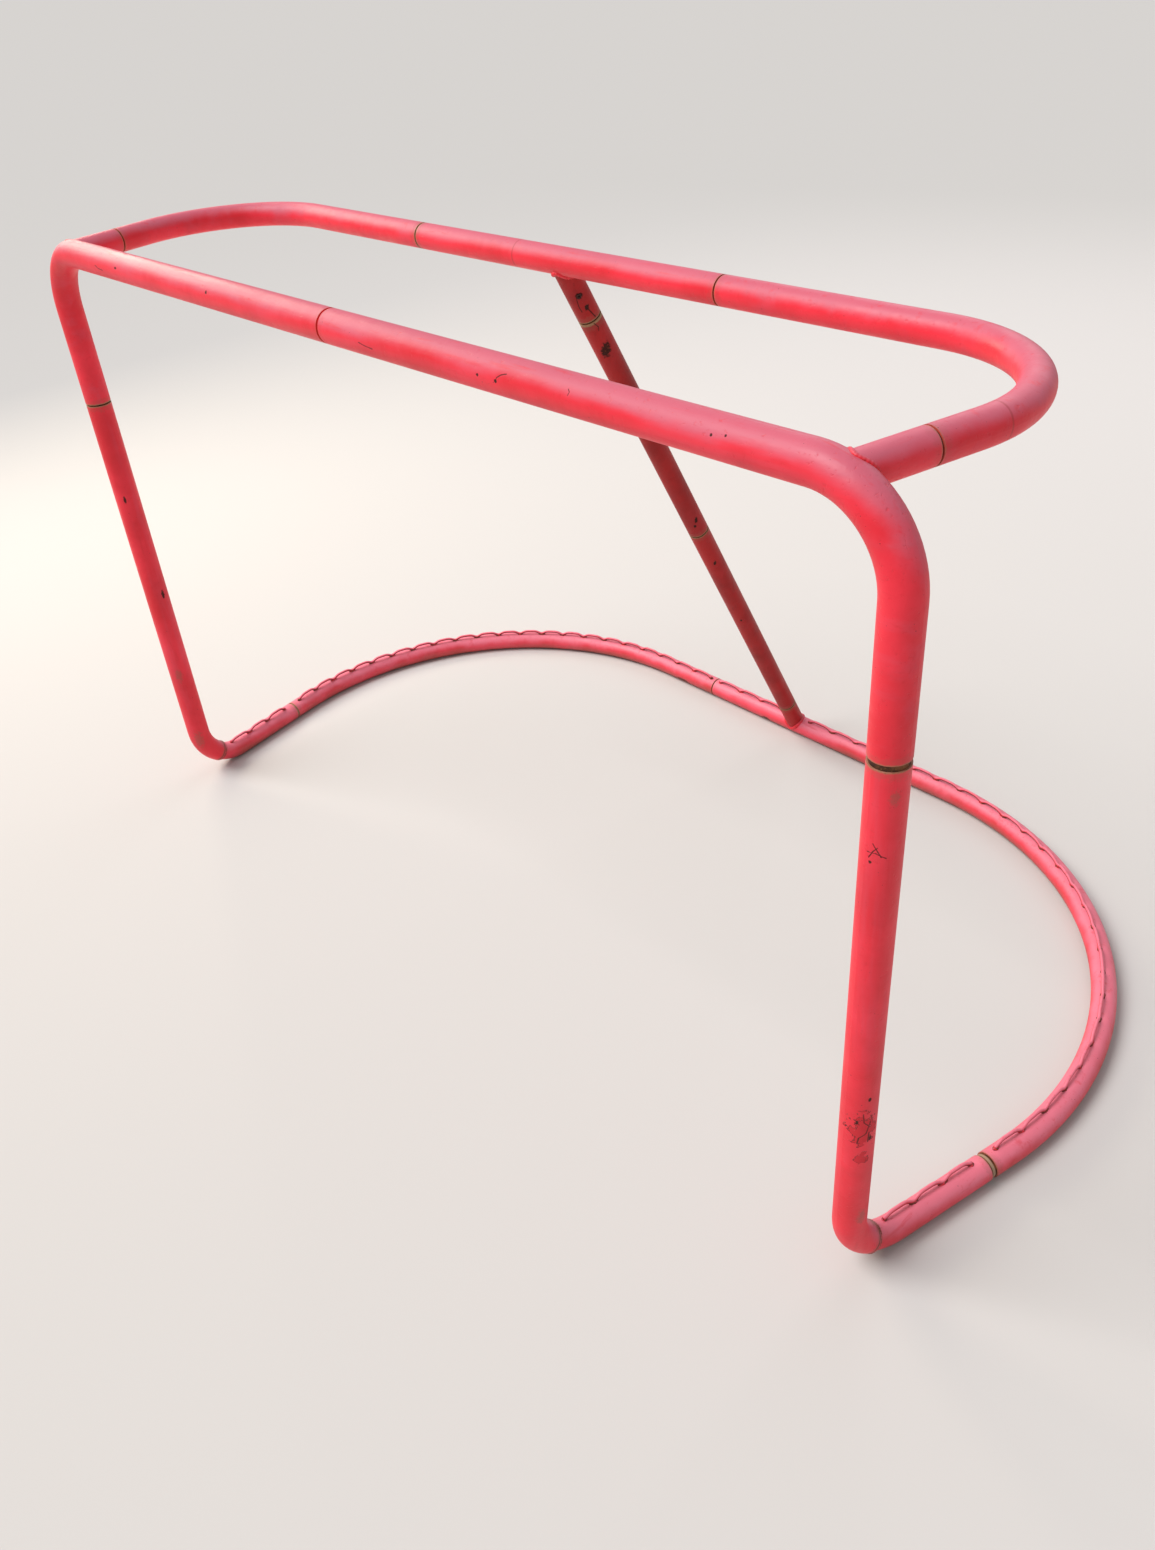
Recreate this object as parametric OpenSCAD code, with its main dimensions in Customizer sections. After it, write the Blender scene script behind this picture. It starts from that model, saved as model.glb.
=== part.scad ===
// Knock-down steel hockey goal frame: a round-cornered mouth, a D-shaped top frame,
// a ground loop with a scalloped lacing rod, and one raking stay at the back.
// Millimetres. +X is the goalkeeper's left, +Y runs back from the mouth, +Z is up.

/* [Mouth] */
// Clear width between the posts
mouth_w = 1830; // [1500:10:2000]
// Height from the ground to the top of the crossbar
goal_h = 1220; // [1000:10:1300]
// Outside diameter of the crossbar and posts
front_d = 48.3; // [44:0.1:55]
// Centreline radius of the two top corners
corner_r = 112; // [100:1:125]
// Height of the joint in each post
post_joint_z = 905; // [600:1:1000]
// Sideways place of the crossbar joint, negative to the left of the middle
crossbar_joint_x = -2; // [-150:1:150]
// Centreline radius of the elbow at the foot of each post
foot_r = 100; // [90:1:110]
// Turn of that elbow, in degrees, that belongs to the post
foot_seam = 50; // [40:1:60]

/* [Back tubes] */
// Outside diameter of the top frame and ground loop
back_d = 42.4; // [40:0.1:43]
// Outside diameter of the stay
stay_d = 40; // [38:0.1:42]

/* [Top frame] */
// Distance of each side tube's root from the middle of the crossbar
top_root_x = 864; // [840:1:870]
// Depth of the top frame, mouth to rear tube, centre to centre
top_depth = 425; // [410:1:500]
// Centreline radius of the top frame's rear corners
top_bend_r = 211; // [180:1:215]
// Angle by which the top frame's sides flare outwards
top_flare = 11.132; // [11:0.001:11.5]
// Drop of the top frame below the crossbar's centreline
top_drop = 4; // [2:0.5:5]
// Distance along each side tube to its joint
top_side_joint = 106; // [100:1:118]
// Place of the joint left of the stay in the top rear tube
top_joint_left = 353; // [300:1:500]
// Place of the joint right of the stay in the top rear tube
top_joint_right = 335; // [300:1:500]

/* [Ground loop] */
// Depth of the ground loop, mouth to rear tube, centre to centre
base_depth = 1050; // [1048:1:1100]
// Centreline radius of the two large rear bends
base_bend_r = 612; // [560:1:612]
// Angle by which the ground loop's sides flare outwards
base_flare = 11.491; // [11:0.001:11.5]
// Turn of each elbow, in degrees, taken by the disc between the post and the loop
plate_turn = 2; // [1:0.5:3]
// Distance along each side of the loop to its joint
base_side_joint = 278; // [250:1:286]
// Distance of the two rear joints from the stay
base_rear_joint = 251; // [200:1:330]

/* [Stay] */
// Distance up the stay to its lowest joint
stay_joint_low = 86; // [70:1:95]
// Distance up the stay to its middle joint
stay_joint_mid = 693; // [500:1:800]
// Distance of the upper joint below the top of the stay
stay_joint_drop = 108; // [104:1:150]
// Distance of the locking screw below the top of the stay
screw_drop = 56; // [54:1:64]
// Turn of the locking screw round the stay, from the front towards the right
screw_turn = 57; // [0:1:90]

/* [Slip joints] */
// Wall thickness of every tube and sleeve
wall = 2; // [1.5:0.1:2.5]
// Radial clearance between a sleeve and its tube
slip = 0.1; // [0.05:0.01:0.2]
// Usual gap left open at a slip joint
gap = 3; // [1:0.5:6]
// Gap at the crossbar joint
gap_crossbar = 5; // [1:0.5:12]
// Gap at the right post joint, which has worked loose
gap_post_right = 8; // [1:0.5:12]
// Gap at the right ground joint, which has worked loose
gap_base_right = 11; // [1:0.5:12]

/* [Lacing rod] */
// Diameter of the lacing rod
rod_d = 6; // [4:0.5:8]
// Height of each scallop above the tube
scallop_h = 7; // [4:0.5:12]
// Usual distance between two welds
scallop_pitch = 60; // [45:1:90]
// Angle of the rod inboard of the top of the tube
rod_lean = 12; // [0:1:45]

/* [Hidden] */

// Facets of a round section and of a bend
$fn = 96;
bend_fn = 240;

front_r = front_d / 2;
back_r = back_d / 2;
stay_r = stay_d / 2;
half_w = mouth_w / 2 + front_r;      // post centreline from the middle
bar_z = goal_h - front_r;            // crossbar centreline
top_z = bar_z - top_drop;            // top frame centreline
bar_end = half_w - corner_r;         // end of the crossbar's straight
top_heading = 90 - top_flare;        // direction of the right side tubes, from +X
base_heading = 90 - base_flare;
mid_y = (base_depth + back_r - front_r) / 2;   // middle of the frame's depth

// Sleeves reach this far into each section
front_reach = 70;
back_reach = 35;
screw_reach = 60;
weld_gap = 0.2;                      // root gap that the weld fills

// Locking screw: M8 set screw with a hex socket
screw_r = 4;
screw_proud = 1;
screw_hole_gap = 0.15;
socket_r = 2.3;
socket_depth = 2;

// Lacing rod: its start behind the post, margins from the joints and the stay, and the sweep's mesh
rod_r = rod_d / 2;
rod_start = 74;
rod_margin = 14;
rod_front_margin = 27;
rod_side_margin = 22;
rod_stay_margin = 40;
rod_sides = 8;
rings_per_scallop = 8;
dip_sharpness = 6;                   // higher makes the dips narrower

// Length of a side tube's straight before a bend of radius r that ends at depth d
function straight_len(d, r, flare) = (d - r - r * sin(flare)) / cos(flare);
// Middle of that bend, for a side tube that starts at x = x0
function bend_x(x0, d, r, flare) = x0 + straight_len(d, r, flare) * sin(flare) - r * cos(flare);

top_straight = straight_len(top_depth, top_bend_r, top_flare);
top_bend_x = bend_x(top_root_x, top_depth, top_bend_r, top_flare);
base_straight = straight_len(base_depth, base_bend_r, base_flare);
base_bend_x = bend_x(half_w, base_depth, base_bend_r, base_flare);
base_arc = base_bend_r * (90 + base_flare) * PI / 180;
base_len = base_straight + base_arc + base_bend_x;   // right half of the loop, foot to stay

// The stay runs from the ground loop's centreline to the top frame's
stay_rise = top_z - back_r;
stay_run = base_depth - top_depth;
stay_len = sqrt(pow(stay_rise, 2) + pow(stay_run, 2));
stay_lean = atan2(stay_run, stay_rise);
stay_joint_top = stay_len - stay_joint_drop;
screw_at = stay_len - screw_drop;

PAINT = "crimson";
RUST = "saddlebrown";
STEEL = "dimgray";

// Puts the goal line in front of the origin, so that the origin is under the middle
module place() translate([0, -mid_y, 0]) children();

// Moves in steps of ever finer digits, so that a tube's end meets its bend exactly
module at(p) {
    whole = [for (v = p) floor(v)];
    fine = [for (v = p - whole) floor(1000 * v) / 1000];
    translate(whole) translate(fine) translate(p - whole - fine) children();
}

module ring(r, t = wall) difference() {
    circle(r);
    circle(r - t);
}

// Straight tube up from z = a to z = b
module tube(r, a, b, t = wall) translate([0, 0, a]) linear_extrude(b - a) ring(r, t);

// Tube along the local +X axis from x = a to x = b
module tube_x(r, a, b, t = wall) rotate([0, 90, 0]) tube(r, a, b, t);

// Bent tube in the XY plane round the origin, from angle a through a sweep, with straight ends.
// Every section starts at the outside of the bend, so that the faces between the sections match.
module bent_tube(r, bend, a, sweep, len_in, len_out, t = wall) {
    b = a + sweep;
    rotate_extrude(start = a, angle = sweep, $fn = bend_fn) translate([bend, 0]) ring(r, t);
    if (len_in > 0)
        at([bend * cos(a), bend * sin(a), 0]) rotate([0, 0, a]) rotate([90, 0, 0]) tube(r, 0, len_in, t);
    if (len_out > 0)
        at([bend * cos(b), bend * sin(b), 0]) rotate([0, 0, b]) rotate([-90, 0, 0]) tube(r, 0, len_out, t);
}

// The right half is drawn, and the left half mirrors it
module side(left) mirror([left ? 1 : 0, 0, 0]) children();

// Frames of the right side tubes: +X runs back along the tube
module top_side_line() translate([top_root_x, 0, top_z]) rotate([0, 0, top_heading]) children();
module base_side_line() translate([half_w, 0, back_r]) rotate([0, 0, base_heading]) children();
// Frame of the stay: +Z runs up along it, -Y is its front
module stay_line() translate([0, base_depth, back_r]) rotate([stay_lean, 0, 0]) children();
// Frame of the locking screw: +Z points out of the stay
module screw_line()
    stay_line() translate([0, 0, screw_at]) rotate([0, 0, screw_turn]) rotate([90, 0, 0]) children();

// ---- Mouth ----
module mouth_corner(r, t, post_len, bar_len) translate([bar_end, 0, bar_z - corner_r])
    rotate([90, 0, 0]) bent_tube(r, corner_r, 0, 90, post_len, bar_len, t);
module crossbar_part(left, inner_end, joint_gap) side(left)
    mouth_corner(front_r, wall, bar_z - corner_r - post_joint_z - joint_gap / 2, bar_end - inner_end);
module crossbar_left() color(PAINT) place()
    crossbar_part(true, -crossbar_joint_x + gap_crossbar / 2, gap);
module crossbar_right() color(PAINT) place()
    crossbar_part(false, crossbar_joint_x + gap_crossbar / 2, gap_post_right);
module crossbar_sleeve() color(RUST) place() translate([crossbar_joint_x, 0, bar_z])
    tube_x(front_r - wall - slip, -front_reach, front_reach);

// Middle of the elbow that turns a post into the ground loop, with X back and Y up
module foot_elbow() base_side_line() translate([foot_r, 0, foot_r]) rotate([90, 0, 0]) children();
module post_part(left, joint_gap) side(left) foot_elbow()
    bent_tube(front_r, foot_r, 180, foot_seam, post_joint_z - joint_gap / 2 - back_r - foot_r, 0);
module post_left() color(PAINT) place() post_part(true, gap);
module post_right() color(PAINT) place() post_part(false, gap_post_right);

module post_sleeve(left) color(RUST) place() side(left) translate([half_w, 0, post_joint_z])
    tube(front_r - wall - slip, -front_reach, front_reach);
module post_sleeve_left() post_sleeve(true);
module post_sleeve_right() post_sleeve(false);

// Disc across the end of the post, to which the ground loop is welded
module foot_plate(left) color(PAINT) place() side(left) foot_elbow()
    rotate_extrude(start = 180 + foot_seam, angle = plate_turn) translate([foot_r, 0]) circle(front_r);
module foot_plate_left() foot_plate(true);
module foot_plate_right() foot_plate(false);

// ---- Top frame ----
module top_stub(left) color(PAINT) place() side(left) difference() {
    top_side_line() tube_x(back_r, 0, top_side_joint - gap / 2);
    mouth_corner(front_r + weld_gap, front_r + weld_gap, 0, 3 * front_r);
}
module top_stub_left() top_stub(true);
module top_stub_right() top_stub(false);

module top_corner(left, rear_joint) color(PAINT) place() side(left)
    at([top_bend_x, top_depth - top_bend_r, top_z])
        bent_tube(back_r, top_bend_r, -top_flare, 90 + top_flare,
            top_straight - top_side_joint - gap / 2, top_bend_x - rear_joint - gap / 2);
module top_corner_left() top_corner(true, top_joint_left);
module top_corner_right() top_corner(false, top_joint_right);
module top_rear() color(PAINT) place() translate([0, top_depth, top_z])
    tube_x(back_r, -top_joint_left + gap / 2, top_joint_right - gap / 2);

module top_side_sleeve(left) color(RUST) place() side(left) top_side_line()
    tube_x(back_r - wall - slip, top_side_joint - back_reach, top_side_joint + back_reach);
module top_side_sleeve_left() top_side_sleeve(true);
module top_side_sleeve_right() top_side_sleeve(false);
module rear_sleeve(left, y, z, joint) color(RUST) place() side(left) translate([0, y, z])
    tube_x(back_r - wall - slip, joint - back_reach, joint + back_reach);
module top_rear_sleeve_left() rear_sleeve(true, top_depth, top_z, top_joint_left);
module top_rear_sleeve_right() rear_sleeve(false, top_depth, top_z, top_joint_right);

// ---- Ground loop ----
module base_front(left, joint_gap) color(PAINT) place() side(left) foot_elbow()
    bent_tube(back_r, foot_r, 180 + foot_seam + plate_turn, 90 - foot_seam - plate_turn,
        0, base_side_joint - joint_gap / 2 - foot_r);
module base_front_left() base_front(true, gap);
module base_front_right() base_front(false, gap_base_right);

module base_side(left, joint_gap) color(PAINT) place() side(left)
    at([base_bend_x, base_depth - base_bend_r, back_r])
        bent_tube(back_r, base_bend_r, -base_flare, 90 + base_flare,
            base_straight - base_side_joint - joint_gap / 2, base_bend_x - base_rear_joint - gap / 2);
module base_side_left() base_side(true, gap);
module base_side_right() base_side(false, gap_base_right);
module base_rear() color(PAINT) place() translate([0, base_depth, back_r])
    tube_x(back_r, -base_rear_joint + gap / 2, base_rear_joint - gap / 2);

module base_side_sleeve(left) color(RUST) place() side(left) base_side_line()
    tube_x(back_r - wall - slip, base_side_joint - back_reach, base_side_joint + back_reach);
module base_side_sleeve_left() base_side_sleeve(true);
module base_side_sleeve_right() base_side_sleeve(false);
module base_rear_sleeve_left() rear_sleeve(true, base_depth, back_r, base_rear_joint);
module base_rear_sleeve_right() rear_sleeve(false, base_depth, back_r, base_rear_joint);

// ---- Stay ----
// Solid tube across the goal, which copes the end of a stub
module cope(y, z) translate([0, y, z]) rotate([0, 90, 0])
    cylinder(r = back_r + weld_gap, h = 6 * back_r, center = true);

module stay_base_stub() color(PAINT) place() difference() {
    stay_line() tube(stay_r, 0, stay_joint_low - gap / 2);
    cope(base_depth, back_r);
}
module stay_lower_tube() color(PAINT) place() stay_line()
    tube(stay_r, stay_joint_low + gap / 2, stay_joint_mid - gap / 2);
module stay_upper_tube() color(PAINT) place() stay_line()
    tube(stay_r, stay_joint_mid + gap / 2, stay_joint_top - gap / 2);
module stay_top_stub() color(PAINT) place() difference() {
    stay_line() tube(stay_r, stay_joint_top + gap / 2, stay_len);
    cope(top_depth, top_z);
    screw_line() cylinder(r = screw_r + screw_hole_gap, h = 2 * stay_r);
}
module stay_sleeve(joint, down, up) color(RUST) place() stay_line()
    tube(stay_r - wall - slip, joint - down, joint + up);
module stay_sleeve_low() stay_sleeve(stay_joint_low, back_reach, back_reach);
module stay_sleeve_mid() stay_sleeve(stay_joint_mid, back_reach, back_reach);
module stay_sleeve_top() stay_sleeve(stay_joint_top, back_reach, screw_reach);

// Set screw through the stub's wall, bearing on the sleeve
module stay_lock_screw() color(STEEL) place() screw_line() difference() {
    translate([0, 0, stay_r - wall]) cylinder(r = screw_r, h = wall + screw_proud);
    translate([0, 0, stay_r + screw_proud - socket_depth])
        cylinder(r = socket_r, h = 2 * socket_depth, $fn = 6);
}

// ---- Lacing rod ----
// Point on the right half of the ground loop's centreline, s along it from the foot
function loop_angle(s) = -base_flare + (s - base_straight) / base_bend_r * 180 / PI;
function loop_point(s) =
    s < base_straight ? [half_w + s * cos(base_heading), s * sin(base_heading)]
    : s < base_straight + base_arc
        ? [base_bend_x + base_bend_r * cos(loop_angle(s)),
           base_depth - base_bend_r + base_bend_r * sin(loop_angle(s))]
    : [base_len - s, base_depth];
function loop_heading(s) =
    s < base_straight ? base_heading
    : s < base_straight + base_arc ? 90 + loop_angle(s)
    : 180;

// Standing height of the rod at u, counted in scallops from its end
function scallop(u) = scallop_h * (1 - pow(abs(cos(180 * u)), dip_sharpness));

// Rise of the elbow's inner wall above the straight tube
function elbow_rise(s) = s < foot_r
    ? foot_r - back_r - sqrt(pow(foot_r - back_r, 2) - pow(foot_r - s, 2))
    : 0;

function rod_point(s, u) =
    let (reach = back_r + rod_r + scallop(u), p = loop_point(s), inboard = loop_heading(s) + 90)
    [p.x + reach * sin(rod_lean) * cos(inboard),
     p.y + reach * sin(rod_lean) * sin(inboard),
     back_r + reach * cos(rod_lean) + elbow_rise(s)];

// Ring of the sweep at point p, square to direction d
function rod_ring(p, d) =
    let (t = d / norm(d), a = cross(t, [0, 0, 1]), b = a / norm(a), c = cross(b, t))
    [for (i = [0:rod_sides - 1])
        p + rod_r * (cos(360 * i / rod_sides) * b + sin(360 * i / rod_sides) * c)];

module lacing_rod(left, from, to) {
    scallops = max(1, round((to - from) / scallop_pitch));
    rings = scallops * rings_per_scallop;
    path = [for (i = [0:rings]) rod_point(from + (to - from) * i / rings, i / rings_per_scallop)];
    points = [for (i = [0:rings]) each
        rod_ring(path[i], path[min(i + 1, rings)] - path[max(i - 1, 0)])];
    walls = [for (i = [0:rings - 1], j = [0:rod_sides - 1])
        let (k = (j + 1) % rod_sides, a = i * rod_sides, b = a + rod_sides)
        [a + j, b + j, b + k, a + k]];
    caps = [
        [for (j = [0:rod_sides - 1]) j],
        [for (j = [rod_sides - 1:-1:0]) rings * rod_sides + j]
    ];
    color(PAINT) place() side(left) polyhedron(points, concat(walls, caps), convexity = 10);
}
module lacing_front(left)
    lacing_rod(left, rod_start, base_side_joint - rod_front_margin);
module lacing_front_left() lacing_front(true);
module lacing_front_right() lacing_front(false);
module lacing_side(left)
    lacing_rod(left, base_side_joint + rod_side_margin, base_len - base_rear_joint - rod_margin);
module lacing_side_left() lacing_side(true);
module lacing_side_right() lacing_side(false);
module lacing_rear(left)
    lacing_rod(left, base_len - base_rear_joint + rod_margin, base_len - rod_stay_margin);
module lacing_rear_left() lacing_rear(true);
module lacing_rear_right() lacing_rear(false);

crossbar_left();
crossbar_right();
crossbar_sleeve();
post_left();
post_right();
post_sleeve_left();
post_sleeve_right();
foot_plate_left();
foot_plate_right();
top_stub_left();
top_stub_right();
top_corner_left();
top_corner_right();
top_rear();
top_side_sleeve_left();
top_side_sleeve_right();
top_rear_sleeve_left();
top_rear_sleeve_right();
base_front_left();
base_front_right();
base_side_left();
base_side_right();
base_rear();
base_side_sleeve_left();
base_side_sleeve_right();
base_rear_sleeve_left();
base_rear_sleeve_right();
stay_base_stub();
stay_lower_tube();
stay_upper_tube();
stay_top_stub();
stay_sleeve_low();
stay_sleeve_mid();
stay_sleeve_top();
stay_lock_screw();
lacing_front_left();
lacing_front_right();
lacing_side_left();
lacing_side_right();
lacing_rear_left();
lacing_rear_right();
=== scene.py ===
import math
import random
import bmesh
import bpy
import numpy as np
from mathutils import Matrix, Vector


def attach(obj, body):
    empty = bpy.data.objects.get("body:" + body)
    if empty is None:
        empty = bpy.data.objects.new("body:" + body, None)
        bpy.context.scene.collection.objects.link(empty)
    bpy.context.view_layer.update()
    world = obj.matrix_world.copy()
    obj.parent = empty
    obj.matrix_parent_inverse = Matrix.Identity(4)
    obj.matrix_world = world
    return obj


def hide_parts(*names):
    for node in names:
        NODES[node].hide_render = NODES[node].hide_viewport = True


# A knock-down steel hockey goal frame, brushed with red paint that has faded, chipped and rusted.
# Metres, in the frame of the CAD: +X along the goal line, +Y from the mouth to the back, +Z up.

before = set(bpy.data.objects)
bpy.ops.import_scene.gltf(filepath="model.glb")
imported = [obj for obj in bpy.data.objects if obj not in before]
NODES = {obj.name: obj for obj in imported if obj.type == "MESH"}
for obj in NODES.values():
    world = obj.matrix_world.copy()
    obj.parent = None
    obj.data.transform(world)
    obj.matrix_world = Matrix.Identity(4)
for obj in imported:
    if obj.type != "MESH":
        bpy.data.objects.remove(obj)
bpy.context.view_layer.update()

# ---- Places and sizes, as in the design ----
MID_Y = 0.523525                 # from the goal line to the middle of the frame's depth
FRONT_R = 0.02415                # crossbar and posts
BACK_R = 0.0212                  # top frame and ground loop
STAY_R = 0.020
HALF_W = 0.93915                 # post centreline from the middle
CORNER_R = 0.112                 # mouth's top corners
BAR_Z = 1.22 - FRONT_R
TOP_Z = BAR_Z - 0.004
FOOT_R = 0.100                   # bend of the elbow at each foot
FOOT_SEAM = math.radians(50)     # turn of the foot's elbow at the post's end
FOOT_WELD = math.radians(52.6)   # and at the middle of the weld beside it
BASE_FLARE = math.radians(11.491)
BASE_DEPTH = 1.050
BASE_BEND_R = 0.612
TOP_FLARE = math.radians(11.132)
TOP_DEPTH = 0.425
TOP_ROOT_X = 0.864
ROD_R = 0.003
SCALLOP_H = 0.007
DIP_SHARPNESS = 6
ROD_LEAN = math.radians(12)      # towards the inside of the loop
STAY_CLEAR = 0.040               # the lacing rod stops this far from the stay
REAR_CLEAR = 0.014               # this far from the middle of the rear slip joints
FRONT_CLEAR, SIDE_CLEAR = 0.027, 0.022   # and this far before and behind the side joints
ROD_START = 0.074                # its first weld behind the foot
PITCH = 0.060                    # one scallop
HALF_GAP = 0.0015                # half the open gap of a tight slip joint
CORNER_RING = 0.201              # faint ring round the top corner, behind the stub's root

base_straight = (BASE_DEPTH - BASE_BEND_R * (1 + math.sin(BASE_FLARE))) / math.cos(BASE_FLARE)
base_bend_x = HALF_W + base_straight * math.sin(BASE_FLARE) - BASE_BEND_R * math.cos(BASE_FLARE)
base_arc = BASE_BEND_R * (math.pi / 2 + BASE_FLARE)
base_len = base_straight + base_arc + base_bend_x
STAY_HEAD = Vector((0, TOP_DEPTH - MID_Y, TOP_Z))
STAY_FOOT = Vector((0, BASE_DEPTH - MID_Y, BACK_R))
UP = Vector((0, 0, 1))


# ---- Measures taken from the CAD nodes ----
def vertices(node):
    return np.array([v.co for v in NODES[node].data.vertices], float)


def axis(node):
    """Middle and unit axis of a straight tube."""
    points = vertices(node)
    middle = points.mean(0)
    low, high = points.min(0), points.max(0)
    _, _, rows = np.linalg.svd(points - middle, full_matrices=False)
    return Vector((low + high) / 2), Vector(rows[0])


def tube_end(node, towards):
    """Middle of a straight tube's end, on the side that a point lies."""
    middle, along = axis(node)
    if along.dot(Vector(towards) - middle) < 0:
        along = -along
    reach = ((vertices(node) - np.array(middle)) @ np.array(along)).max()
    return middle + along * float(reach)


# ---- Camera ----
FOCAL_PX = 1233.4
FRAME_H_PX = 1550
CAMERA_YAW, CAMERA_PITCH, CAMERA_ROLL = 0.87635, -0.61738, 0.09192
CAMERA_AT = Vector((1.52567, -0.90824 - MID_Y, 1.65086))
SENSOR_MM = 36
CLIP = (0.05, 100)


def make_camera():
    ahead = Vector((-math.sin(CAMERA_YAW) * math.cos(CAMERA_PITCH),
                    math.cos(CAMERA_YAW) * math.cos(CAMERA_PITCH),
                    math.sin(CAMERA_PITCH)))
    level = Vector((math.cos(CAMERA_YAW), math.sin(CAMERA_YAW), 0))
    down = ahead.cross(level)
    right = math.cos(CAMERA_ROLL) * level + math.sin(CAMERA_ROLL) * down
    up = math.sin(CAMERA_ROLL) * level - math.cos(CAMERA_ROLL) * down
    data = bpy.data.cameras.new("camera")
    data.sensor_fit = "AUTO"
    data.sensor_width = SENSOR_MM
    data.lens = data.sensor_width * FOCAL_PX / FRAME_H_PX
    data.clip_start, data.clip_end = CLIP
    camera = bpy.data.objects.new("camera", data)
    bpy.context.scene.collection.objects.link(camera)
    matrix = camera.matrix_world.copy()
    for i in range(3):
        matrix[i][0], matrix[i][1], matrix[i][2] = right[i], up[i], -ahead[i]
        matrix[i][3] = CAMERA_AT[i]
    camera.matrix_world = matrix
    bpy.context.scene.camera = camera


# ---- Studio ----
WORLD_COLOUR, WORLD_STRENGTH = (1.0, 0.99, 0.985, 1), 0.40
SUN_COLOUR, SUN_STRENGTH = (1, 0.975, 0.95), 2.75
SUN_ANGLE = math.radians(35)
SUN_DIRECTION = Vector((0.34, 0.50, -0.80))
AREA_LIGHTS = (                  # name, place, target, size, watts, colour
    ("back_light", (-1.2, 4.2, 3.6), (0, 0, 1.1), (4, 2.5), 45, (1, 0.90, 0.95)),
    ("glare_light", (-3.5, -0.35, 2.35), (-0.7, -0.5, 1.2), (2.0, 1.1), 60, (1, 0.86, 0.68)),
)
FLOOR_HALF = 90
FLOOR_COLOUR, FLOOR_ROUGHNESS = (0.62, 0.61, 0.60, 1), 0.95


def aim(obj, direction):
    obj.rotation_mode = "QUATERNION"
    obj.rotation_quaternion = direction.to_track_quat("-Z", "Y")
    bpy.context.scene.collection.objects.link(obj)


def area_light(name, place, target, size, watts, colour):
    data = bpy.data.lights.new(name, "AREA")
    data.shape = "RECTANGLE"
    data.size, data.size_y = size
    data.energy = watts
    data.color = colour
    light = bpy.data.objects.new(name, data)
    light.location = place
    light.visible_camera = False
    aim(light, Vector(target) - Vector(place))


def make_studio():
    scene = bpy.context.scene
    scene.view_settings.view_transform = "Standard"
    world = bpy.data.worlds.new("studio")
    world.use_nodes = True
    back = world.node_tree.nodes["Background"]
    back.inputs["Color"].default_value = WORLD_COLOUR
    back.inputs["Strength"].default_value = WORLD_STRENGTH
    scene.world = world

    sun = bpy.data.lights.new("sun_light", "SUN")
    sun.energy = SUN_STRENGTH
    sun.angle = SUN_ANGLE
    sun.color = SUN_COLOUR
    aim(bpy.data.objects.new("sun_light", sun), SUN_DIRECTION)
    for light in AREA_LIGHTS:
        area_light(*light)

    mesh = bpy.data.meshes.new("floor")
    half = FLOOR_HALF
    mesh.from_pydata([(-half, -half, 0), (half, -half, 0), (half, half, 0), (-half, half, 0)],
                     [], [(0, 1, 2, 3)])
    floor = bpy.data.objects.new("floor", mesh)
    scene.collection.objects.link(floor)
    g = Graph("floor_material")
    g.shader.inputs["Base Color"].default_value = FLOOR_COLOUR
    g.shader.inputs["Roughness"].default_value = FLOOR_ROUGHNESS
    g.shader.inputs["Specular IOR Level"].default_value = 0.0
    mesh.materials.append(g.material)


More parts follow.
